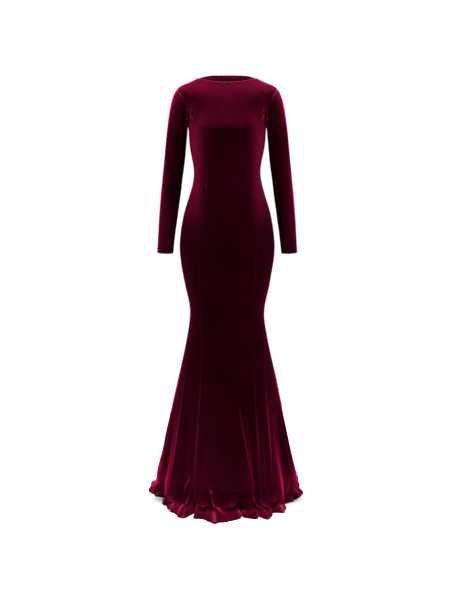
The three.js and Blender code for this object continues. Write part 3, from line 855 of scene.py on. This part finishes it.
def velvet_material(name, dark, light, sheen, has_painted_light):
    """A near-black burgundy velvet, shining wine red at a slant, with painted highlights and painted light.
    """
    material = bpy.data.materials.new(f"velvet_{name}")
    material.use_nodes = True
    nodes, links = material.node_tree.nodes, material.node_tree.links
    shader = nodes["Principled BSDF"]
    shader.inputs["Roughness"].default_value = PILE["roughness"]
    shader.inputs["Specular IOR Level"].default_value = PILE["specular"]
    shader.inputs["Sheen Weight"].default_value = sheen
    shader.inputs["Sheen Roughness"].default_value = PILE["sheen_roughness"]
    shader.inputs["Sheen Tint"].default_value = (*PILE["sheen_color"], 1)

    place = nodes.new("ShaderNodeTexCoord")
    brushed = nodes.new("ShaderNodeTexNoise")
    brushed.inputs["Scale"].default_value = PILE["patch_scale"]
    brushed.inputs["Detail"].default_value = PILE["patch_detail"]
    colors = nodes.new("ShaderNodeValToRGB")
    for element, position, tone in zip(colors.color_ramp.elements, PILE["patch_range"], (dark, light)):
        element.position = position
        element.color = (*tone, 1)
    links.new(place.outputs["Object"], brushed.inputs["Vector"])
    links.new(brushed.outputs["Fac"], colors.inputs["Fac"])

    # painted highlight: the colour lightens on sharply convex crests, found by the mesh's pointiness
    shape = nodes.new("ShaderNodeNewGeometry")
    crest_highlight = nodes.new("ShaderNodeMapRange")
    crest_highlight.inputs["From Min"].default_value, crest_highlight.inputs["From Max"].default_value = PILE["crest_highlight"]
    links.new(shape.outputs["Pointiness"], crest_highlight.inputs["Value"])
    color = colors.outputs["Color"]
    # painted light: the colour is lightened at the waist's sides and on the hem's side lobes
    if has_painted_light:
        color = paint_light_patches(material.node_tree, place.outputs["Object"], color)
    color = mixed_color(material.node_tree, crest_highlight.outputs["Result"], color, PILE["crest_highlight_color"])
    links.new(color, shader.inputs["Base Color"])

    nap = nodes.new("ShaderNodeTexNoise")
    nap.inputs["Scale"].default_value = PILE["nap_scale"]
    nap.inputs["Detail"].default_value = PILE["nap_detail"]
    bump = nodes.new("ShaderNodeBump")
    bump.inputs["Strength"].default_value = PILE["nap_strength"]
    bump.inputs["Distance"].default_value = PILE["nap_depth"]
    links.new(place.outputs["Object"], nap.inputs["Vector"])
    links.new(nap.outputs["Fac"], bump.inputs["Height"])
    links.new(bump.outputs["Normal"], shader.inputs["Normal"])
    return material


velvets = {name: velvet_material(name, **look) for name, look in VELVETS.items()}


def dress(obj, node, velvet):
    obj.data.materials.append(velvets[velvet])
    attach(obj, "root")
    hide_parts(node)


for name, node, on_back in (("front_panel", "centre_front", False), ("back_panel", "centre_back", True)):
    panel = add_centre_panel(name, on_back)
    dress(panel, node, "panels")

for side in ("left", "right"):
    for place in ("front", "back"):
        panel = add_side_panel(f"side_panel_{place}_{side}", place == "back", side == "right")
        dress(panel, f"side_{place}_{side}", "panels")
    arm = add_sleeve(f"sleeve_cloth_{side}", side == "right")
    dress(arm, f"sleeve_{side}", "sleeves")

facing = add_facing("neck_facing")
# the facing takes the velvet lightened with painted light
dress(facing, "neck_facing_back", "turned")


# Floor, light and camera
def add_light(name, place, aim, size, spread, power):
    data = bpy.data.lights.new(name, "AREA")
    data.shape = "RECTANGLE"
    data.size, data.size_y = size
    data.spread = math.radians(spread)
    data.energy = power
    light = bpy.data.objects.new(name, data)
    light.location = place
    light.rotation_euler = (Vector(aim) - Vector(place)).to_track_quat("-Z", "Y").to_euler()
    bpy.context.scene.collection.objects.link(light)


def add_floor():
    bpy.ops.mesh.primitive_plane_add(size=FLOOR_SIZE, location=(0, 0, -HELD_HEIGHT / 1000))
    floor = bpy.context.object
    floor.name = "floor"
    paint = bpy.data.materials.new("floor_paint")
    paint.use_nodes = True
    shader = paint.node_tree.nodes["Principled BSDF"]
    shader.inputs["Base Color"].default_value = FLOOR_COLOR
    shader.inputs["Roughness"].default_value = FLOOR_ROUGHNESS
    floor.data.materials.append(paint)


def add_world():
    world = bpy.data.worlds.new("studio")
    world.use_nodes = True
    nodes, links = world.node_tree.nodes, world.node_tree.links
    direction = nodes.new("ShaderNodeTexCoord")
    split = nodes.new("ShaderNodeSeparateXYZ")
    fade = nodes.new("ShaderNodeMapRange")
    fade.interpolation_type = "SMOOTHSTEP"
    fade.inputs["From Min"].default_value, fade.inputs["From Max"].default_value = SKY_RISE
    fade.inputs["To Min"].default_value = HORIZON_LIGHT
    fade.inputs["To Max"].default_value = SKY_LIGHT
    nodes["Background"].inputs["Color"].default_value = (1, 1, 1, 1)
    links.new(direction.outputs["Generated"], split.inputs["Vector"])
    links.new(split.outputs["Z"], fade.inputs["Value"])
    links.new(fade.outputs["Result"], nodes["Background"].inputs["Strength"])
    bpy.context.scene.world = world


def add_camera():
    data = bpy.data.cameras.new("camera")
    data.lens = CAMERA["lens"]
    data.sensor_width = CAMERA["sensor"]
    data.dof.use_dof = False
    camera = bpy.data.objects.new("camera", data)
    camera.location = CAMERA["place"]
    camera.rotation_euler = (math.radians(90 - CAMERA["downward"]), 0, 0)
    bpy.context.scene.collection.objects.link(camera)
    bpy.context.scene.camera = camera


add_floor()
for light in LIGHTS:
    add_light(*light)
add_world()
bpy.context.scene.view_settings.view_transform = "Standard"
add_camera()
